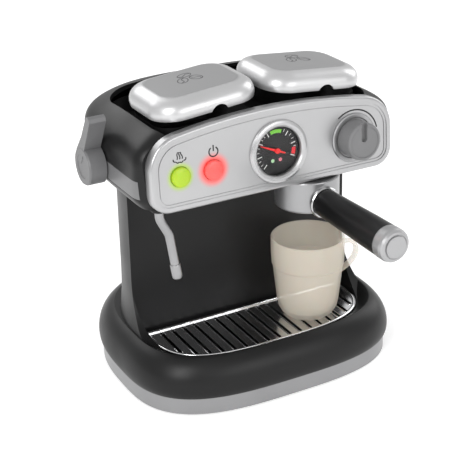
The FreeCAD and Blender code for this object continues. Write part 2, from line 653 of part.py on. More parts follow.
hopper_floor = deck_floor - 0.1
for side, name in ((-1, "left"), (1, "right")):
    place = lid_place(side)
    moved = lid.copy()
    moved.Placement = place
    save("lid_" + name, moved)
    tub = rounded_prism(hopper_half_x, hopper_half_y, 18.6, deck_floor, 250, side * lid_x, lid_y)
    core = stack([rounded_ring(hopper_half_x - 12.0, hopper_half_y - 10.0, 9.0, 0.0),
                  rounded_ring(hopper_half_x - hopper_wall - 1.0, hopper_half_y - hopper_wall - 1.0, 15.8, 11.0),
                  rounded_ring(hopper_half_x - hopper_wall, hopper_half_y - hopper_wall, 16.6, 60.0)])
    core.Placement = Placement(Vector(side * lid_x, lid_y, deck_floor + 3.0), Rotation())
    tub = tub.cut(core)
    trim = Part.makeBox(300, 300, 100, Vector(-150, -150, 2.6))
    trim.Placement = place
    tub = tub.cut(trim)
    for x in (-18.5, 18.5):
        web = block(x - 2.5, x + 2.5, hopper_half_y - 1.0, hinge_y + 2.9, hinge_z - 12.0, hinge_z - 3.6)
        post = block(x - 2.5, x + 2.5, hinge_y - 2.4, hinge_y + 2.9, hinge_z - 5.0, hinge_z)
        eye = rod(2.9, 5.0, Vector(x - 2.5, hinge_y, hinge_z), Vector(1, 0, 0))
        lug = web.fuse(post).fuse(eye).cut(rod(pin_radius, 8, Vector(x - 4, hinge_y, hinge_z), Vector(1, 0, 0)))
        lug.Placement = place
        tub = tub.fuse(lug)
    if side > 0:
        tub = tub.cut(rod(2.0, 10, Vector(side * lid_x, lid_y, 200)))
    save("hopper_" + name, tub)
    pin = rod(pin_radius, 42.0, Vector(-21, hinge_y, hinge_z), Vector(1, 0, 0))
    pin.Placement = place
    save("lid_pin_" + name, pin)

# Side lever, its axle and the bush inside the head
hub_length = lever_inner_x - lever_outer_x
hub = spin([(0, 0), (13.4, 0), (lever_radius, 0), (lever_radius, 12.9), (14.3, 14.3), (10.0, 14.3), (9.4, 13.7),
            (0, 13.7)], Vector(lever_inner_x, lever_y, lever_z), Vector(-1, 0, 0))
arm_profile = [Vector(0, 3.0, 0), Vector(0, 3.0, 26), Vector(0, 3.6, 44.5), Vector(0, 6.0, 47.0), Vector(0, 9.0, 46.6),
               Vector(0, 10.6, 44.0), Vector(0, 11.4, 22.0), Vector(0, 14.6, 4.0), Vector(0, 10.0, -4.0)]
arm = Part.Face(Part.makePolygon(arm_profile + [arm_profile[0]])).extrude(Vector(hub_length - 0.6, 0, 0))
soft = [e for e in arm.Edges if abs(e.tangentAt(e.FirstParameter).x) > 0.9 and e.BoundBox.ZMin > 20]
arm = arm.makeFillet(1.1, soft)
arm.Placement = Placement(Vector(lever_outer_x + 0.3, lever_y, lever_z), Rotation(Vector(1, 0, 0), 31.0))
lever = hub.fuse(arm).removeSplitter()
save("lever_arm", lever.cut(rod(4.0, 11.0, Vector(lever_inner_x + 1, lever_y, lever_z), Vector(-1, 0, 0))))
axle = rod(4.0, 28.0, Vector(lever_inner_x - 9.9, lever_y, lever_z), Vector(1, 0, 0))
axle = axle.fuse(rod(6.4, 1.6, Vector(lever_inner_x + 16.5, lever_y, lever_z), Vector(1, 0, 0)))
save("lever_axle", axle)
bush = tube(8.0, 4.07, 13.0, Vector(lever_inner_x + 3.3, lever_y, lever_z), Vector(1, 0, 0))
for z in (-7.0, 7.0):
    bush = bush.fuse(block(lever_inner_x + 3.3, lever_inner_x + 6.0, lever_y - 12, lever_y + 12, lever_z + z - 1, lever_z + z + 1))
bush = bush.common(head_hollow)
save("lever_bush", bush.cut(rod(4.07, 60, Vector(-130, lever_y, lever_z), Vector(1, 0, 0))))

# Group head, portafilter, handle
axis = Vector(group_x, group_y, 0)
ring = spin([(0, 158.0), (23.9, 158.0), (23.9, 166.3), (25.4, 166.3), (25.4, 167.9), (24.3, 167.9), (24.3, 170.6),
             (27.6, 170.6), (27.6, 173.0), (12.0, 173.0), (12.0, 161.0),
             (5.0, 161.0), (5.0, 159.4), (0, 159.4)], axis)
for k in range(8):
    a = math.radians(45 * k)
    ring = ring.cut(rod(0.7, 5, axis + Vector(3.4 * math.cos(a), 3.4 * math.sin(a), 156)))
ring = ring.cut(ahead_of_head(fit_gap).common(block(-far, far, -far, far, 167.0, 300)))
ring = ring.cut(block(-far, far, -far, head_front + 5.5, 170.5, 300))
save("group_head", ring)
cup_wall = spin([(4.0, group_low), (24.6, group_low), (25.6, group_low + 0.6), (group_radius, group_low + 1.8),
                 (group_radius, group_high - 0.9), (25.5, group_high), (24.0, group_high), (24.0, 145.0),
                 (20.0, 145.0), (20.0, 143.4), (4.0, 142.4)], axis)
heading = Vector(0, -1, 0)
root = Vector(group_x, group_y, handle_z)
stub = rod(7.6, 10.0, root + heading * 23.0, heading)
cup_wall = cup_wall.fuse(stub).cut(rod(24.0, 21.0, axis + Vector(0, 0, 145.0)))
cup_wall = cup_wall.fuse(tube(4.4, 2.6, 4.4, axis + Vector(0, 0, group_low - 2.2)))
save("portafilter_cup", cup_wall.cut(rod(2.6, 12, axis + Vector(0, 0, 134))))
basket = spin([(0, 145.0), (23.7, 145.0), (23.7, 157.0), (22.7, 157.0), (22.7, 146.2), (0, 146.2)], axis)
for r, n in ((5.0, 6), (10.0, 12), (15.0, 18)):
    for k in range(n):
        a = 2 * math.pi * k / n
        basket = basket.cut(rod(0.7, 3, axis + Vector(r * math.cos(a), r * math.sin(a), 145)))
save("filter_basket", basket)
collar = spin([(7.6, 24.9), (12.2, 24.9), (12.9, 25.8), (12.9, 27.6), (12.2, 28.4), (7.6, 28.4)], root, heading)
save("handle_collar", collar.cut(rod(group_radius + 0.02, 40, axis + Vector(0, 0, 140))))
grip = spin([(0, 33.0), (7.6, 33.0), (7.6, 28.4), (10.7, 28.4), (handle_root_radius, 29.4), (11.6, 45.0), (12.1, 65.0),
             (12.7, 88.0), (13.0, 110.9), (9.0, 110.9), (9.0, 104.0), (0, 104.0)], root, heading)
save("handle_grip", grip)
cap = spin([(0, 104.0), (9.0, 104.0), (9.0, 110.9), (13.0, 110.9), (handle_end_radius, 112.0), (handle_end_radius, 118.4),
            (12.6, 120.6), (11.2, 122.0), (9.6, 122.4), (9.3, 121.9), (8.8, 121.9), (8.6, 123.4), (0, 123.4)], root, heading)
save("handle_cap", cap)

# Steam wand in its socket
top = Vector(wand_x, wand_y, column_top)
socket = spin([(3.56, -3.2), (6.0, -3.2), (6.6, -2.4), (6.6, -0.4), (6.6, 6.4), (3.56, 6.4)], top)
save("wand_socket", socket)
wand_end = Vector(wand_x + 11.2, wand_y, 118.0)
wand_knee = Vector(wand_x + 7.5, wand_y, 143.0)
wand = pipe([(wand_x, wand_y, column_top + 5.6), (wand_x, wand_y, column_top - 10.0), wand_knee, wand_end],
            wand_radius, 14.0)
save("steam_wand", wand)
tip_turn = (wand_end - wand_knee).normalize()
tip_base = wand_end
tip = spin([(0, -0.1), (3.9, -0.1), (4.2, 0.6), (4.2, 9.5), (3.9, 11.6), (3.2, 12.6), (1.2, 12.6), (1.2, 6.0), (0, 6.0)],
           tip_base, tip_turn)
save("wand_tip", tip.cut(wand))

# Frosted cup with its loop handle
plate_top = tray_top - 0.9
here = Vector(cup_x, cup_y, plate_top + 0.05)
tall = cup_rim_z - plate_top
profile_out = [(9.5, 0.0), (14.0, 0.6), (18.5, 2.4), (22.0, 5.6), (24.4, 10.0), (25.6, 16.0), (26.9, 28.0), (28.3, 41.0),
               (28.9, 47.0), (29.7, 48.4), (cup_rim_radius - 0.1, 58.0), (cup_rim_radius, tall - 0.9), (29.6, tall)]
profile_in = [(28.9, tall - 0.6), (28.4, 58.0), (27.9, 48.6), (27.0, 46.6), (26.2, 40.0), (24.9, 28.0), (23.7, 17.0),
              (22.4, 11.4), (20.4, 7.4), (17.6, 4.8), (13.6, 3.2), (9.0, 2.6), (0, 2.4)]
cup = spin([(0, 0.0)] + profile_out + profile_in, here)
loop = [(cup_x + 27.9, cup_y, 95.6), (cup_x + 35.0, cup_y, 97.0), (cup_x + 43.0, cup_y, 94.8), (cup_x + 47.3, cup_y, 87.5),
        (cup_x + 44.4, cup_y, 79.5), (cup_x + 36.5, cup_y, 73.5), (cup_x + 27.2, cup_y, 70.0)]
curve = Part.BSplineCurve()
curve.interpolate([Vector(*p) for p in loop])
heading = curve.tangent(curve.FirstParameter)[0]
section = Part.Wire(Part.Ellipse(curve.value(curve.FirstParameter), 3.2, 1.9).toShape())
section.rotate(curve.value(curve.FirstParameter), Vector(0, 0, 1), 90)
section.rotate(curve.value(curve.FirstParameter), Vector(0, 1, 0), 90)
handle = Part.Wire(curve.toShape()).makePipeShell([section], True, True)
hollow = spin([(0, 2.4)] + [(r, z) for r, z in reversed(profile_in[:-1])] + [(28.9, 90.0), (0, 90.0)], here)
cup = cup.fuse(handle.cut(hollow))
save("cup", cup)

# Water tubes and the battery lead
valve_in = fascia_point(knob_u - 11.6, knob_v, -20.0)
valve_out = fascia_point(knob_u, knob_v - 11.6, -20.0)
feed = pipe([(lid_x, lid_y, 202.6), (lid_x, lid_y, valve_in.z), (lid_x, valve_in.y, valve_in.z), valve_in], 1.9, 4.0)
save("feed_tube", feed)
outlet = pipe([valve_out, (valve_out.x, valve_out.y - 0.4, 176.0), (group_x, group_y, 176.0), (group_x, group_y, 161.5)],
              1.9, 4.0)
save("outlet_tube", outlet)
spigot = tube(4.6, 2.0, 3.0, Vector(lid_x, lid_y, 200.1))
save("outlet_spigot", spigot)
lead = pipe([(-52.0, -48.0, 184.0), (-52.0, -36.0, 182.0), (-45.0, 0, 178.0), (-38.5, 24.0, 150.0),
             (-37.15, 30.0, 40.0), (-37.15, 30.0, 16.0)], 1.1, 8.0)
save("battery_lead", lead)
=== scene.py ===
import math
import bmesh
import bpy
from mathutils import Matrix, Vector


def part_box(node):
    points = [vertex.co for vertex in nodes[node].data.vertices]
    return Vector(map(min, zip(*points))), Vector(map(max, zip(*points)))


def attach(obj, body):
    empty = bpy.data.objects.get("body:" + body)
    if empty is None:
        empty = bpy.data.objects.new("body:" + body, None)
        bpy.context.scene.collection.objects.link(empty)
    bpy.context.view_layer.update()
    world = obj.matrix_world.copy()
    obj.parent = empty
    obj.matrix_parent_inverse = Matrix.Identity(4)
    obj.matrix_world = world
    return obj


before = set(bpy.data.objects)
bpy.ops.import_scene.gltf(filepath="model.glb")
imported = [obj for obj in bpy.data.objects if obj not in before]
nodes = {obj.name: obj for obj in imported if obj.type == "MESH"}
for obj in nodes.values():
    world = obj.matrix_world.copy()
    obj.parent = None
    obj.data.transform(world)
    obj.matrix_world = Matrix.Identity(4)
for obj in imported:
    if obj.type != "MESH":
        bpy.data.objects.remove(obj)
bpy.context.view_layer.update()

# Studio: a pale floor that runs out of sight, one wide soft key from the front left,
# a weaker fill on the right and a dim ceiling, so flat tops read darker than front edges.
floor_half = 6
floor_corners = [(-floor_half, -floor_half, 0), (floor_half, -floor_half, 0),
                 (floor_half, floor_half, 0), (-floor_half, floor_half, 0)]
floor_data = bpy.data.meshes.new("studio_floor")
floor_data.from_pydata(floor_corners, [], [(0, 1, 2, 3)])
floor = bpy.data.objects.new("studio_floor", floor_data)
bpy.context.scene.collection.objects.link(floor)
paper = bpy.data.materials.new("pale_paper")
paper.use_nodes = True
paper_nodes = paper.node_tree.nodes
paper_shader = paper_nodes["Principled BSDF"]
paper_shader.inputs["Roughness"].default_value = 0.9
paper_shader.inputs["Emission Color"].default_value = (1.0, 1.0, 1.0, 1)
paper_shader.inputs["Emission Strength"].default_value = 0.22
paper_noise = paper_nodes.new("ShaderNodeTexNoise")
paper_noise.inputs["Scale"].default_value = 3.0
paper_ramp = paper_nodes.new("ShaderNodeValToRGB")
paper_ramp.color_ramp.elements[0].color = (0.95, 0.95, 0.95, 1)
paper_ramp.color_ramp.elements[1].color = (0.98, 0.98, 0.98, 1)
paper.node_tree.links.new(paper_noise.outputs["Fac"], paper_ramp.inputs["Fac"])
paper.node_tree.links.new(paper_ramp.outputs["Color"], paper_shader.inputs["Base Color"])
floor_data.materials.append(paper)


def softbox(name, place, aim, wide, high, watts):
    data = bpy.data.lights.new(name, "AREA")
    data.shape = "RECTANGLE"
    data.size = wide
    data.size_y = high
    data.energy = watts
    lamp = bpy.data.objects.new(name, data)
    lamp.location = place
    lamp.rotation_euler = (Vector(aim) - Vector(place)).to_track_quat("-Z", "Y").to_euler()
    bpy.context.scene.collection.objects.link(lamp)


machine_middle = (0.0, -0.02, 0.12)
softbox("key_left", (-0.95, -0.75, 0.80), machine_middle, 0.5, 0.8, 9.0)
softbox("front_fill", (0.35, -1.45, 0.62), machine_middle, 1.1, 0.7, 5.5)
softbox("right_edge", (1.25, 0.15, 0.75), machine_middle, 0.7, 1.0, 5.0)
softbox("back_rim", (-0.35, 1.15, 1.05), machine_middle, 1.2, 0.6, 5.0)

sky = bpy.data.worlds.new("studio_sky")
sky.use_nodes = True
sky.node_tree.nodes["Background"].inputs["Color"].default_value = (1.0, 1.0, 1.0, 1)
sky.node_tree.nodes["Background"].inputs["Strength"].default_value = 0.70
bpy.context.scene.world = sky
bpy.context.scene.view_settings.view_transform = "Standard"

# Camera: the place, aim, roll and lens that lay the model's edges over those in the photograph.
# The roll is a small turn about the line of sight.
film_width_mm = 36.0
lens_mm = 96.57
camera_place = Vector((-0.44533, -0.83246, 0.53659))
camera_aim = Vector((-0.012205, -0.018, 0.113567))
camera_roll = math.radians(-1.3225)
look = (camera_aim - camera_place).normalized()
level_right = look.cross(Vector((0, 0, 1))).normalized()
level_up = level_right.cross(look)
right = level_right * math.cos(camera_roll) + level_up * math.sin(camera_roll)
up = level_up * math.cos(camera_roll) - level_right * math.sin(camera_roll)
camera_data = bpy.data.cameras.new("photo_camera")
camera_data.sensor_width = film_width_mm
camera_data.lens = lens_mm
camera = bpy.data.objects.new("photo_camera", camera_data)
camera.matrix_world = Matrix.Translation(camera_place) @ Matrix((right, up, -look)).transposed().to_4x4()
bpy.context.scene.collection.objects.link(camera)
bpy.context.scene.camera = camera


# Foot: a silver painted band closes the bottom edge, with a black base plate, rubber pads and screws.
# Every moulded skin here is a fine spark-eroded texture, so one recipe makes them with its own grain.
def moulded(name, colour, rough, grain=2600.0, depth=0.00002, metallic=0.0, shade=0.05, cloud=22.0,
            spread=0.05, specular=0.5):
    # colour and roughness drift between two clouded levels, under a fine grain of the given depth
    cloud_low, cloud_high = 0.3, 0.7
    material = bpy.data.materials.new(name)
    material.use_nodes = True
    tree = material.node_tree
    shader = tree.nodes["Principled BSDF"]
    shader.inputs["Metallic"].default_value = metallic
    shader.inputs["Specular IOR Level"].default_value = specular
    place = tree.nodes.new("ShaderNodeTexCoord")
    fine = tree.nodes.new("ShaderNodeTexNoise")
    fine.inputs["Scale"].default_value = grain
    fine.inputs["Detail"].default_value = 2.0
    tree.links.new(place.outputs["Object"], fine.inputs["Vector"])
    bump = tree.nodes.new("ShaderNodeBump")
    bump.inputs["Strength"].default_value = 0.6
    bump.inputs["Distance"].default_value = depth
    tree.links.new(fine.outputs["Fac"], bump.inputs["Height"])
    tree.links.new(bump.outputs["Normal"], shader.inputs["Normal"])
    broad = tree.nodes.new("ShaderNodeTexNoise")
    broad.inputs["Scale"].default_value = cloud
    broad.inputs["Detail"].default_value = 3.0
    tree.links.new(place.outputs["Object"], broad.inputs["Vector"])
    tone = tree.nodes.new("ShaderNodeValToRGB")
    tone.color_ramp.elements[0].position = cloud_low
    tone.color_ramp.elements[1].position = cloud_high
    tone.color_ramp.elements[0].color = tuple(c * (1 - shade) for c in colour) + (1,)
    tone.color_ramp.elements[1].color = tuple(min(1, c * (1 + shade)) for c in colour) + (1,)
    tree.links.new(broad.outputs["Fac"], tone.inputs["Fac"])
    tree.links.new(tone.outputs["Color"], shader.inputs["Base Color"])
    polish = tree.nodes.new("ShaderNodeMapRange")
    polish.inputs["From Min"].default_value = cloud_low
    polish.inputs["From Max"].default_value = cloud_high
    polish.inputs["To Min"].default_value = rough - spread
    polish.inputs["To Max"].default_value = rough + spread
    tree.links.new(broad.outputs["Fac"], polish.inputs["Value"])
    tree.links.new(polish.outputs["Result"], shader.inputs["Roughness"])
    return material


def dress(node, material):
    # gives a CAD node its finish, on all of its slots
    data = nodes[node].data
    data.materials.clear()
    data.materials.append(material)
    for face in data.polygons:
        face.material_index = 0


silver_paint = moulded("silver_paint", (0.38, 0.38, 0.385), 0.34, metallic=0.7, grain=3200.0)
black_satin = moulded("black_satin", (0.006, 0.006, 0.0062), 0.40, specular=0.28)
rubber = moulded("black_rubber", (0.02, 0.02, 0.02), 0.8, grain=900.0, depth=0.00006)
zinc = moulded("zinc_screws", (0.50, 0.50, 0.52), 0.34, metallic=1.0)
dress("plinth_band", moulded("plinth_silver", (0.30, 0.30, 0.305), 0.36, metallic=0.75))
dress("base_plate", black_satin)
dress("rubber_feet", rubber)
for fixing in ("base_screws", "rear_screws", "door_screw"):
    dress(fixing, zinc)

# Battery box under the column: black tray and door, plain wrapped cells, brass contacts and a black
# lead up to the circuit board. All of it is hidden until the door comes off.
for part in ("battery_box", "battery_door"):
    dress(part, black_satin)
dress("battery_cells", moulded("cell_wrap", (0.10, 0.13, 0.17), 0.35, metallic=0.4))
dress("battery_contacts", moulded("brass_strip", (0.78, 0.58, 0.22), 0.3, metallic=1.0))
dress("battery_lead", rubber)

# Body shell and its rear panel: one black satin moulding, the rim rolling over into the cup bay
# and the column sweeping up from it, so the finish is the same all over.
dress("body_shell", black_satin)
dress("rear_cover", black_satin)

# Drip tray: pressed bright metal plate with a rolled edge and seventeen slots, over a black pan.
# The press leaves a rounded lip along every slot, which takes the light as a thin bright line; the lips and
# the rolled edge also get a brighter metal than the plate, a painted highlight.
tray_metal = moulded("tray_metal", (0.80, 0.80, 0.81), 0.15, metallic=1.0, depth=0.000004, spread=0.03)
dress("drip_tray", tray_metal)
dress("drip_pan", black_satin)


def line_tree():
    # sweeps an oval bar, Width across the path and Rise tall, along the curves it is given
    tree = bpy.data.node_groups.new("bar_along_path", "GeometryNodeTree")
    tree.interface.new_socket("Path", in_out="INPUT", socket_type="NodeSocketGeometry")
    tree.interface.new_socket("Width", in_out="INPUT", socket_type="NodeSocketFloat")
    tree.interface.new_socket("Rise", in_out="INPUT", socket_type="NodeSocketFloat")
    tree.interface.new_socket("Finish", in_out="INPUT", socket_type="NodeSocketMaterial")
    tree.interface.new_socket("Bar", in_out="OUTPUT", socket_type="NodeSocketGeometry")
    given = tree.nodes.new("NodeGroupInput")
    made = tree.nodes.new("NodeGroupOutput")
    round_bar = tree.nodes.new("GeometryNodeCurvePrimitiveCircle")
    round_bar.inputs["Resolution"].default_value = 10
    round_bar.inputs["Radius"].default_value = 0.5
    proportion = tree.nodes.new("ShaderNodeCombineXYZ")
    proportion.inputs["Z"].default_value = 1.0
    flatten = tree.nodes.new("GeometryNodeTransform")
    smooth = tree.nodes.new("GeometryNodeSetShadeSmooth")
    sweep = tree.nodes.new("GeometryNodeCurveToMesh")
    sweep.inputs["Fill Caps"].default_value = True
    real = tree.nodes.new("GeometryNodeRealizeInstances")
    finish = tree.nodes.new("GeometryNodeSetMaterial")
    tree.links.new(given.outputs["Width"], proportion.inputs["X"])
    tree.links.new(given.outputs["Rise"], proportion.inputs["Y"])
    tree.links.new(round_bar.outputs["Curve"], flatten.inputs["Geometry"])
    tree.links.new(proportion.outputs["Vector"], flatten.inputs["Scale"])
    tree.links.new(given.outputs["Path"], sweep.inputs["Curve"])
    tree.links.new(flatten.outputs["Geometry"], sweep.inputs["Profile Curve"])
    tree.links.new(sweep.outputs["Mesh"], smooth.inputs["Geometry"])
    tree.links.new(smooth.outputs["Geometry"], real.inputs["Geometry"])
    tree.links.new(real.outputs["Geometry"], finish.inputs["Geometry"])
    tree.links.new(given.outputs["Finish"], finish.inputs["Material"])
    tree.links.new(finish.outputs["Geometry"], made.inputs["Bar"])
    return tree


bar_tree = line_tree()


def bars(name, paths, width, rise, finish, place, body, closed=False):
    # paths are flat lines in the plane of place, which then carries the finished mesh to the machine
    data = bpy.data.curves.new(name, "CURVE")
    data.dimensions = "3D"
    data.twist_mode = "Z_UP"
    for path in paths:
        line = data.splines.new("POLY")
        line.points.add(len(path) - 1)
        line.use_cyclic_u = closed
        for point, (x, y) in zip(line.points, path):
            point.co = (x, y, 0, 1)
    rough = bpy.data.objects.new(name + "_path", data)
    bpy.context.scene.collection.objects.link(rough)
    maker = rough.modifiers.new("bars", "NODES")
    maker.node_group = bar_tree
    sockets = {item.name: item.identifier for item in bar_tree.interface.items_tree if item.in_out == "INPUT"}
    maker[sockets["Width"]] = width
    maker[sockets["Rise"]] = rise
    maker[sockets["Finish"]] = finish
    bpy.context.view_layer.update()
    mesh = bpy.data.meshes.new_from_object(rough.evaluated_get(bpy.context.evaluated_depsgraph_get()))
    bpy.data.objects.remove(rough)
    mesh.transform(place)
    if not mesh.materials:
        mesh.materials.append(finish)
    piece = bpy.data.objects.new(name, mesh)
    bpy.context.scene.collection.objects.link(piece)
    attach(piece, body)
    return piece


def arc_points(x, y, radius, start, stop, steps, squash=1.0):
    return [(x + radius * math.cos(math.radians(start + (stop - start) * k / steps)),
             y + radius * squash * math.sin(math.radians(start + (stop - start) * k / steps)))
            for k in range(steps + 1)]


slot_count = 17
slot_pitch = 0.010
slot_half = 0.00135
slot_rear = -0.018
lip_out = 0.00028
lip_width = 0.0008
lip_lift = 0.00012
plate_drop = 0.0009
front_land = 0.0048
corner_land = 0.007
corner_from = 0.075
tray_low, tray_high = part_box("drip_tray")
tray_half = tray_high.x
tray_middle = -0.015
tray_power = 3.2
lips = []
for k in range(slot_count):
    x = (k - slot_count // 2) * slot_pitch
    edge = (1 - (abs(x) / tray_half) ** tray_power) ** (1 / tray_power)
    land = front_land if abs(x) < corner_from else corner_land
    front = tray_middle - (tray_middle - tray_low.y) * edge + land
    around = slot_half + lip_out
    lips.append(arc_points(x, slot_rear, around, 0, 180, 8) + arc_points(x, front, around, 180, 360, 8))
lip_place = Matrix.Translation((0, 0, tray_high.z - plate_drop + lip_lift))
# painted highlight: the lips and the rolled edge take a brighter copy of the tray metal
bright_lip_painted_highlight = moulded("slot_lip_painted_highlight", (0.92, 0.92, 0.93), 0.12, metallic=1.0, depth=0.000004, spread=0.02)
slot_lips = bars("slot_lips", lips, lip_width, lip_width, bright_lip_painted_highlight, lip_place, "tray", closed=True)
edge_in = 0.0013
edge_width = 0.0026
edge_rise = 0.0016
edge_sink = 0.0001
edge_steps = 120
half = tray_half - edge_in
reach = tray_middle - tray_low.y - edge_in
rolled = []
for k in range(edge_steps + 1):
    a = math.pi + math.pi * k / edge_steps
    rolled.append((math.copysign(abs(math.cos(a)) ** (2 / tray_power), math.cos(a)) * half,
                   tray_middle - abs(math.sin(a)) ** (2 / tray_power) * reach))
rolled += [(half, tray_high.y - edge_in), (-half, tray_high.y - edge_in)]
edge_place = Matrix.Translation((0, 0, tray_high.z - edge_sink))
tray_edge = bars("tray_rolled_edge", [rolled], edge_width, edge_rise, bright_lip_painted_highlight, edge_place, "tray",
                 closed=True)

# Head: black satin shell with a grey strip let into a groove round its side, and the hopper deck
# dropped into the opening on top, with the two hopper boxes standing in it.
dress("head_shell", black_satin)
dress("belt_strip", moulded("belt_grey", (0.15, 0.15, 0.153), 0.40))
dress("hopper_deck", black_satin)
for side in ("left", "right"):
    dress("hopper_" + side, black_satin)
    dress("lid_pin_" + side, zinc)

# Fascia: a silver painted moulding with a raised bead all round. The paint itself is tinted green
# and red round the two buttons, in place of the light that their lamps would throw on it.
lean = math.radians(3.46)
fascia_foot = Vector((0, -0.0691, 0.1972))
across = Vector((1, 0, 0))
upward = Vector((0, math.sin(lean), math.cos(lean)))
outward = Vector((0, -math.cos(lean), math.sin(lean)))


def fascia_point(u, v, h=0.0):
    return fascia_foot + across * u + upward * v + outward * h


def fascia_place(u, v, h):
    turn = Matrix((across, upward, outward)).transposed().to_4x4()
    return Matrix.Translation(fascia_point(u, v, h)) @ turn


fascia_paint = moulded("fascia_silver", (0.44, 0.44, 0.445), 0.33, metallic=0.78, grain=3400.0,
                       depth=0.000012)


def painted_lamp_glow(material, centre, inner, outer, colour, most):
    # paints the light of one lamp onto the paint round it, fading from most at the inner distance to none at
    # the outer
    tree = material.node_tree
    shader = tree.nodes["Principled BSDF"]
    before = shader.inputs["Base Color"].links[0].from_socket
    place = tree.nodes.new("ShaderNodeTexCoord")
    away = tree.nodes.new("ShaderNodeVectorMath")
    away.operation = "DISTANCE"
    away.inputs[1].default_value = centre
    tree.links.new(place.outputs["Object"], away.inputs[0])
    fade = tree.nodes.new("ShaderNodeMapRange")
    fade.interpolation_type = "SMOOTHSTEP"
    fade.inputs["From Min"].default_value = inner
    fade.inputs["From Max"].default_value = outer
    fade.inputs["To Min"].default_value = most
    fade.inputs["To Max"].default_value = 0.0
    tree.links.new(away.outputs["Value"], fade.inputs["Value"])
    mix = tree.nodes.new("ShaderNodeMix")
    mix.data_type = "RGBA"
    mix.inputs["B"].default_value = colour
    tree.links.new(fade.outputs["Result"], mix.inputs["Factor"])
    tree.links.new(before, mix.inputs["A"])
    tree.links.new(mix.outputs["Result"], shader.inputs["Base Color"])


steam_u = -0.081
power_u = -0.0538
button_v = -0.0028
# painted light: green and red lamp light painted into the fascia paint round the two buttons
painted_lamp_glow(fascia_paint, fascia_point(steam_u, button_v), 0.0070, 0.0125, (0.40, 0.60, 0.02, 1), 0.85)
painted_lamp_glow(fascia_paint, fascia_point(power_u, button_v), 0.0074, 0.0150, (0.95, 0.10, 0.09, 1), 0.9)
dress("fascia_panel", fascia_paint)
dress("knob_ring", silver_paint)

# Printed signs on the fascia: steam over the left button, standby over the right one,
# and the turning range, stops and arrow round the knob, all in one black pad-printed ink.
ink = moulded("black_ink", (0.008, 0.008, 0.008), 0.6, grain=5000.0, depth=0.000004)
print_rise = 0.00012
sign_stroke = 0.0011
sign_plane = fascia_place(0, 0, -0.0007)
standby = arc_points(-0.0530, 0.0112, 0.0037, 122, 418, 40)
standby_bar = [(-0.0530, 0.0116), (-0.0530, 0.0163)]
standby_sign = bars("standby_sign", [standby, standby_bar], sign_stroke, print_rise, ink, sign_plane,
                    "machine")
steam_lines = []
wisp_steps = 10
for x, lean_out in ((-0.0829, -0.0009), (-0.0808, 0.0), (-0.0787, 0.0009)):
    steam_lines.append([(x + lean_out * (k / wisp_steps) ** 2 * -1.2 + 0.00035 * math.sin(k * 0.62),
                         0.0108 + 0.00055 * k) for k in range(wisp_steps + 1)])
curl_radius = 0.0014
cup_curls = [arc_points(x, y, curl_radius, start, start + 140, 10)
             for x, y, start in ((-0.0846, 0.0108, 150), (-0.0823, 0.0096, 190),
                                 (-0.0795, 0.0096, 210), (-0.0771, 0.0108, 250))]
steam_sign = bars("steam_sign", steam_lines + cup_curls, 0.00095, print_rise, ink, sign_plane, "machine")
knob_u = 0.070
knob_v = -0.0015
range_radius = 0.0222
range_arc = arc_points(knob_u, knob_v, range_radius, 128, 12, 48)
range_line = bars("range_arc", [range_arc], 0.0012, print_rise, ink, sign_plane, "machine")
stops = []
for degrees in (4, -6):
    x = knob_u + range_radius * math.cos(math.radians(degrees))
    y = knob_v + range_radius * math.sin(math.radians(degrees))
    stops.append([(x - 0.0005, y), (x + 0.0005, y)])
stop_dots = bars("stop_dots", stops, 0.0016, print_rise, ink, sign_plane, "machine")
arrow_x = knob_u + range_radius
arrow = [(arrow_x, knob_v - 0.0052), (arrow_x + 0.0028, knob_v - 0.0078), (arrow_x - 0.0008, knob_v - 0.0118)]
arrow_sign = bars("arrow_sign", [arrow], sign_stroke, print_rise, ink, sign_plane, "machine")

# Gauge: chromed plastic bezel, matt black dial with raised white scale marks, a green zone at the top
# and a red one at the end, two tiny lamps, a red needle and a clear pressed lens over it all.
gauge_u = 0.002
gauge_v = 0.0005
dial_h = -0.0036
dial_print_rise = 0.0001
mark_outer = 0.0172
zone_radius = 0.0152
lamp_drop = 0.0077
dress("gauge_bezel", moulded("bezel_silver", (0.48, 0.48, 0.485), 0.28, metallic=0.75, depth=0.000006))
dress("gauge_dial", moulded("dial_black", (0.012, 0.012, 0.013), 0.55))
dress("gauge_pin", zinc)
dress("gauge_needle", moulded("needle_red", (0.85, 0.02, 0.02), 0.35))
lens = moulded("clear_lens", (1.0, 1.0, 1.0), 0.06, depth=0.000001, spread=0.01)
lens_shader = lens.node_tree.nodes["Principled BSDF"]
lens_shader.inputs["Transmission Weight"].default_value = 1.0
lens_shader.inputs["IOR"].default_value = 1.12
dress("gauge_lens", lens)
white_print = moulded("white_print", (0.85, 0.85, 0.83), 0.5)
gauge_plane = fascia_place(gauge_u, gauge_v, dial_h + 0.00005)


def spoke(degrees, inner):
    # one scale mark, from the inner radius out to the scale's edge
    a = math.radians(degrees)
    return [(inner * math.cos(a), inner * math.sin(a)), (mark_outer * math.cos(a), mark_outer * math.sin(a))]


long_marks = [spoke(a, 0.0132) for a in (228, 192, 152, 118, 52, 14, -24)]
short_marks = [spoke(a, 0.0150) for a in (216, 204, 178, 165, 140, 129, 64, 40, 27, 3)]
long_scale = bars("scale_long", long_marks, 0.00075, dial_print_rise, white_print, gauge_plane, "machine")
short_scale = bars("scale_short", short_marks, 0.00045, dial_print_rise, white_print, gauge_plane, "machine")
green_zone = bars("green_zone", [arc_points(0, 0, zone_radius, 108, 72, 12)], 0.0030, dial_print_rise,
                  moulded("green_print", (0.20, 0.62, 0.06), 0.5), gauge_plane, "machine")
red_zone = bars("red_zone", [arc_points(0, 0, zone_radius, 0, -20, 10)], 0.0034, dial_print_rise,
                moulded("red_print", (0.82, 0.03, 0.04), 0.5), gauge_plane, "machine")


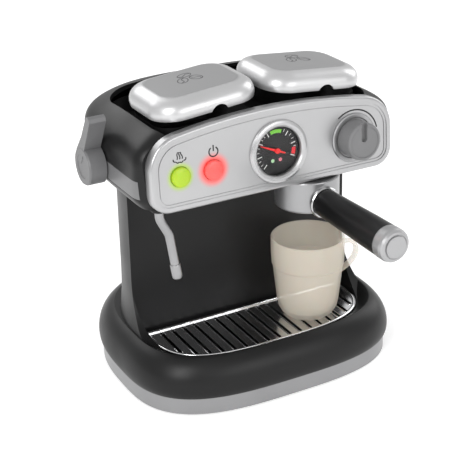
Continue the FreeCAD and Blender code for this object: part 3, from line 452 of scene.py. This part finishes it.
def dome(name, u, v, h, radius, rise, finish, body):
    # a small turned cap: rim, shoulder and a closed crown
    mesh = bmesh.new()
    around = 32
    layers = 7
    turns = [2 * math.pi * j / around for j in range(around)]
    rings = []
    for k in range(layers):
        a = math.radians(90 * k / layers)
        rings.append([mesh.verts.new((radius * math.cos(a) * math.cos(t), radius * math.cos(a) * math.sin(t),
                                      rise * math.sin(a))) for t in turns])
    crown = mesh.verts.new((0, 0, rise))
    for low, high in zip(rings, rings[1:]):
        for j in range(around):
            mesh.faces.new((low[j], low[(j + 1) % around], high[(j + 1) % around], high[j]))
    for j in range(around):
        mesh.faces.new((rings[-1][j], rings[-1][(j + 1) % around], crown))
    for face in mesh.faces:
        face.smooth = True
    data = bpy.data.meshes.new(name)
    mesh.to_mesh(data)
    data.transform(fascia_place(u, v, h))
    data.materials.append(finish)
    piece = bpy.data.objects.new(name, data)
    bpy.context.scene.collection.objects.link(piece)
    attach(piece, body)
    return piece


lamp_green = moulded("pale_green_lamp", (0.45, 0.72, 0.42), 0.2)
lamp_pink = moulded("pink_lamp", (0.80, 0.25, 0.30), 0.2)
for name, side_step, finish in (("dial_lamp_green", -0.0036, lamp_green),
                                ("dial_lamp_pink", 0.0031, lamp_pink)):
    lamp = dome(name, gauge_u + side_step, gauge_v - lamp_drop, dial_h, 0.0015, 0.0006, finish, "machine")

# Selector knob: mid grey satin plastic with a raised rim round its face and a pointer groove;
# the steam and power buttons are translucent caps lit from behind by their lamps.
knob_grey = moulded("knob_grey", (0.16, 0.16, 0.163), 0.42)
dress("selector_knob", knob_grey)
dress("water_valve", black_satin)


def lit(name, colour, strength):
    # a translucent cap that shines faintly in its own colour
    material = moulded(name, colour, 0.35, depth=0.000008)
    shader = material.node_tree.nodes["Principled BSDF"]
    shader.inputs["Emission Color"].default_value = colour + (1,)
    shader.inputs["Emission Strength"].default_value = strength
    shader.inputs["Subsurface Weight"].default_value = 0.3
    shader.inputs["Subsurface Scale"].default_value = 0.002
    return material


for part in ("steam_button", "steam_lamp"):
    dress(part, lit(part + "_green", (0.36, 0.52, 0.015), 0.04))
for part in ("power_button", "power_lamp"):
    dress(part, lit(part + "_red", (0.86, 0.10, 0.09), 0.12))
for part in ("steam_spring", "power_spring"):
    dress(part, zinc)
dress("circuit_board", moulded("board_green", (0.02, 0.14, 0.06), 0.45))

# Lids: silver painted caps with a rolled edge and a finger notch, and a sign of three beans on top,
# drawn in low raised lines that are darker than the lid's paint.
lid_tilt = math.radians(5.3)
emboss = moulded("emboss_shadow", (0.10, 0.10, 0.103), 0.45, metallic=0.3)


def lid_silver_with_painted_top_shade(name, side):
    # faces that point the way the closed lid's flat top does are painted darker than the roll round it, a
    # painted shade on the flat top
    flat_from, flat_full = 0.955, 0.985
    material = moulded(name, (0.56, 0.56, 0.565), 0.34, metallic=0.7, grain=3200.0, depth=0.00001, shade=0.03)
    tree = material.node_tree
    shader = tree.nodes["Principled BSDF"]
    before = shader.inputs["Base Color"].links[0].from_socket
    facing = tree.nodes.new("ShaderNodeNewGeometry")
    flat = tree.nodes.new("ShaderNodeVectorMath")
    flat.operation = "DOT_PRODUCT"
    flat.inputs[1].default_value = (math.sin(side * lid_tilt), 0, math.cos(lid_tilt))
    tree.links.new(facing.outputs["Normal"], flat.inputs[0])
    crown = tree.nodes.new("ShaderNodeMapRange")
    crown.interpolation_type = "SMOOTHSTEP"
    crown.inputs["From Min"].default_value = flat_from
    crown.inputs["From Max"].default_value = flat_full
    tree.links.new(flat.outputs["Value"], crown.inputs["Value"])
    mix = tree.nodes.new("ShaderNodeMix")
    mix.data_type = "RGBA"
    # painted shade: the darker grey laid over the lid's flat top
    mix.inputs["B"].default_value = (0.36, 0.36, 0.365, 1)
    tree.links.new(crown.outputs["Result"], mix.inputs["Factor"])
    tree.links.new(before, mix.inputs["A"])
    tree.links.new(mix.outputs["Result"], shader.inputs["Base Color"])
    return material


dress("lid_left", lid_silver_with_painted_top_shade("lid_left_silver", -1))
dress("lid_right", lid_silver_with_painted_top_shade("lid_right_silver", 1))


def bean(x, y, length, wide, turn):
    # an oval outline and the curved seam along it, both turned about the bean's middle
    a = math.radians(turn)
    ring_steps = 28
    seam_half = 6

    def turned(px, py):
        return (x + px * math.cos(a) - py * math.sin(a), y + px * math.sin(a) + py * math.cos(a))

    ring = []
    for k in range(ring_steps + 1):
        t = 2 * math.pi * k / ring_steps
        ring.append(turned(length / 2 * math.cos(t), wide / 2 * math.sin(t)))
    seam = []
    for k in range(2 * seam_half + 1):
        along = k / seam_half - 1
        seam.append(turned(length * 0.44 * along, wide * 0.16 * math.sin(math.pi * along)))
    return [ring, seam]


bean_set = (bean(-0.0056, -0.0034, 0.0110, 0.0080, 58) + bean(0.0056, -0.0034, 0.0110, 0.0080, -58)
            + bean(0.0002, 0.0062, 0.0116, 0.0074, 10))
for side, name in ((-1, "left"), (1, "right")):
    lid_place = (Matrix.Translation((side * 0.0463, -0.02175, 0.235))
                 @ Matrix.Rotation(side * lid_tilt, 4, "Y")
                 @ Matrix.Translation((0.0010, 0.0060, 0.01502)))
    beans = bars("beans_" + name, bean_set, 0.0009, 0.00014, emboss, lid_place, name + "_lid")

# Side lever: one grey moulding, a round hub with a dished face and the flat arm standing on it,
# turning on a steel axle in a bush inside the head.
dress("lever_arm", moulded("lever_grey", (0.14, 0.14, 0.143), 0.44))
dress("lever_axle", zinc)
dress("lever_bush", black_satin)

# Group and filter holder: plated ring under the head, silver cup with its spout, satin black handle
# turned and capped in silver, with a slim plated collar where it meets the cup.
plated = moulded("bright_plate", (0.55, 0.55, 0.555), 0.24, metallic=1.0, depth=0.000003, spread=0.03)
cup_silver = moulded("holder_silver", (0.34, 0.34, 0.345), 0.34, metallic=0.8, depth=0.000008)
dress("group_head", moulded("group_grey", (0.10, 0.10, 0.102), 0.35, metallic=0.6))
dress("portafilter_cup", cup_silver)
dress("filter_basket", zinc)
dress("handle_collar", plated)
dress("handle_grip", moulded("handle_black", (0.005, 0.005, 0.0052), 0.38, spread=0.04, specular=0.3))
dress("handle_cap", silver_paint)

# Steam wand: bent bright tube with a plated nozzle, swinging in a black bush in the head's floor.
dress("wand_socket", black_satin)
wand_steel = moulded("wand_steel", (0.34, 0.34, 0.345), 0.30, metallic=1.0, depth=0.000004, spread=0.03)
dress("steam_wand", wand_steel)
dress("wand_tip", wand_steel)

# Cup: frosted, faintly amber moulded plastic that lets some light through. The water tubes hidden
# in the head are clear soft hose.
frosted = moulded("frosted_cup", (0.80, 0.74, 0.64), 0.36, grain=1800.0, depth=0.00001, shade=0.02,
                  spread=0.02)
frost_shader = frosted.node_tree.nodes["Principled BSDF"]
frost_shader.inputs["Transmission Weight"].default_value = 0.15
frost_shader.inputs["Alpha"].default_value = 0.38
frost_shader.inputs["IOR"].default_value = 1.12
frost_shader.inputs["Subsurface Weight"].default_value = 0.1
frost_shader.inputs["Subsurface Scale"].default_value = 0.004
dress("cup", frosted)
hose = moulded("clear_hose", (0.75, 0.80, 0.82), 0.25, depth=0.000004)
hose_shader = hose.node_tree.nodes["Principled BSDF"]
hose_shader.inputs["Transmission Weight"].default_value = 0.5
for part in ("feed_tube", "outlet_tube"):
    dress(part, hose)
dress("outlet_spigot", black_satin)
